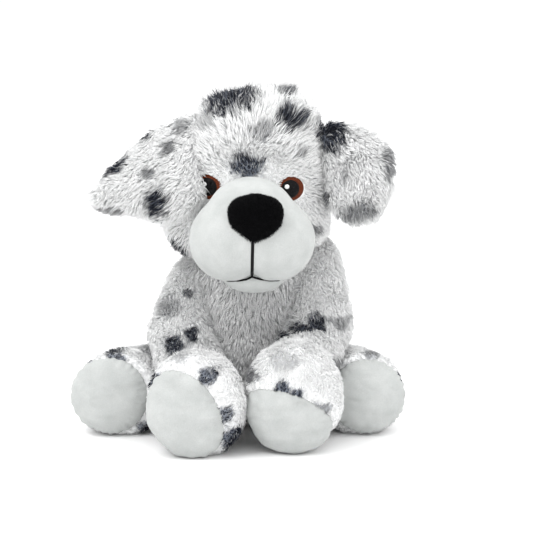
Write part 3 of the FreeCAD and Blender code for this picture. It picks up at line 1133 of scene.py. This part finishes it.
def philtrum(muzzle):
    """A soft valley down the middle of the muzzle, under the nose."""
    width, depth = 5.0, 2.2
    points, normals = points_of(muzzle), normals_of(muzzle)
    middle = span("mouth_stitch_upright")[2][0]
    valley = np.exp(-((points[:, 0] - middle) / width) ** 2)
    valley = valley * smooth_step(NOSE[2], NOSE_LOW[2] - 6, points[:, 2]) * (points[:, 1] < MUZZLE[1])
    set_points(muzzle, points - normals * (valley * depth)[:, None])


CREASE_SEED = {("right", "paw"): 8, ("left", "paw"): 7, ("right", "foot"): 9, ("left", "foot"): 8}


def angle_round(point, axis):
    """The angle of each point round an axis."""
    across = unit(np.cross(axis, [0, 0, 1]))
    up = np.cross(across, axis)
    return lambda p: np.arctan2((p - point) @ up, (p - point) @ across)


def build():
    torso = blob("torso_form", torso_balls(), voxel=4.5)
    head = blob("head_form", head_balls(), voxel=4.5)
    muzzle = blob("muzzle_form", muzzle_balls(), voxel=3.4, rounds=10)
    chin = blob("chin_form", [ball(CHIN - [0, 0, 3], CHIN_R * [0.96, 0.96, 0.97])], voxel=3.0, rounds=6)
    arms = {side: blob(side + "_arm_form", arm_balls(side), voxel=4.2) for side, _ in SIDES}
    legs = {side: blob(side + "_leg_form", leg_balls(side), voxel=4.2) for side, _ in SIDES}
    pads = {}
    for side, _ in SIDES:
        for forms, end in ((arms, "paw"), (legs, "foot")):
            pads[side, end] = pad_cut(side, end)
            pin_near(forms[side], plane(*pads[side, end]), PINNED)
    stuff([torso, head, muzzle, chin] + list(arms.values()) + list(legs.values()))
    for obj in [torso] + list(arms.values()) + list(legs.values()):
        flatten_underside(obj)
    for side, _ in SIDES:
        for forms, end in ((arms, "paw"), (legs, "foot")):
            rim = plane(*pads[side, end])
            refine(forms[side])
            seam_groove(forms[side], rim, depth=1.6, width=2.0, pucker=0.8,
                        around=angle_round(*pads[side, end]), count=30)
            crease(forms[side], rim, depth=1.1, size=26.0, seed=CREASE_SEED[side, end])
    for obj in (muzzle, muzzle, chin, head, torso):
        refine(obj)
    philtrum(muzzle)
    head_tree = tree_of(head)
    build_head(head)
    build_mouth(tree_of(muzzle, chin))
    build_eyes(head_tree)
    build_nose()
    muzzle.name, chin.name = "muzzle_skin", "chin_skin"
    place(muzzle, "head", "smooth", ("muzzle_cover", "muzzle_stuffing"), fill=0.9)
    place(chin, "head", "smooth", ("chin",), fill=0.9)
    build_neck()
    build_torso(torso)
    for i, (side, sign) in enumerate(SIDES):
        build_ear(side, 60 + 7 * i)
        build_limb(arms[side], side, "paw", pads[side, "paw"],
                   ((SHOULDER[side] + PAW_PAD[side]) / 2, (sign, 0.0, 0.0)), 70 + 9 * i)
        build_limb(legs[side], side, "foot", pads[side, "foot"],
                   ((HIP[side] + FOOT_PAD[side]) / 2, (0, 0, 1.0)), 90 + 9 * i)
    build_tail()


# ------ camera, light and floor
VIEW_TARGET = np.array([18.0, -33.0, 131.0])
VIEW_DOWN = 9.0  # degrees
VIEW_DISTANCE = 1220.0
LENS = 99.0  # on a 36 mm wide sensor
SKY_LOW, SKY_HIGH = 1.04, 1.9  # the studio is brightest overhead


def build_camera():
    data = bpy.data.cameras.new("camera")
    data.lens, data.sensor_width = LENS, 36.0
    camera = new_object("camera", data)
    down = math.radians(VIEW_DOWN)
    offset = np.array([0.0, -math.cos(down), math.sin(down)]) * VIEW_DISTANCE
    camera.location = (VIEW_TARGET + offset) * MM
    camera.rotation_euler = (math.pi / 2 - down, 0, 0)
    bpy.context.scene.camera = camera


def area_light(name, position, target, size, power):
    data = bpy.data.lights.new(name, "AREA")
    data.shape, data.size, data.energy = "DISK", size, power
    light = new_object(name, data)
    light.location = position
    light.rotation_euler = (Vector(target) - Vector(position)).to_track_quat("-Z", "Y").to_euler()


def build_studio():
    world = bpy.data.worlds.new("studio")
    bpy.context.scene.world = world
    world.use_nodes = True
    tree = world.node_tree
    split = tree.nodes.new("ShaderNodeSeparateXYZ")
    tree.links.new(tree.nodes.new("ShaderNodeTexCoord").outputs["Generated"], split.inputs[0])
    height = tree.nodes.new("ShaderNodeMapRange")
    height.interpolation_type = "SMOOTHSTEP"
    for socket, value in (("From Min", 0.25), ("From Max", 1.0), ("To Min", SKY_LOW),
                          ("To Max", SKY_HIGH)):
        height.inputs[socket].default_value = value
    tree.links.new(split.outputs["Z"], height.inputs["Value"])
    background = tree.nodes["Background"]
    background.inputs["Color"].default_value = (1.0, 1.0, 1.0, 1.0)
    tree.links.new(height.outputs["Result"], background.inputs["Strength"])
    area_light("key", (-0.8, -0.8, 1.5), (0, 0, 0.12), 0.8, 8.0)
    area_light("fill", (1.2, -0.5, 1.1), (0, 0, 0.12), 0.9, 2.0)
    rings, spokes = (400.0, 1000.0, 2500.0, 6000.0), 48
    turns = [2 * math.pi * i / spokes for i in range(spokes)]
    points = [(0, 0, 0)] + [(r * math.cos(t), r * math.sin(t), 0) for r in rings for t in turns]
    faces = []
    for i in range(spokes):
        j = (i + 1) % spokes
        faces.append((0, 1 + i, 1 + j))
        for ring in range(1, 1 + spokes * (len(rings) - 1), spokes):
            faces.append((ring + i, ring + i + spokes, ring + j + spokes, ring + j))
    s = Shader("studio_floor", 0.9, Specular_IOR_Level=0.1)
    s.colour(s.ramp(s.noise(6.0), [(0.3, (0.93, 0.93, 0.93)), (0.7, (0.945, 0.945, 0.945))]))
    floor = from_arrays("studio_floor", points, faces)
    floor.data.materials.append(s.material)
    bpy.context.scene.view_settings.view_transform = "Standard"


build_camera()
build_studio()
build()
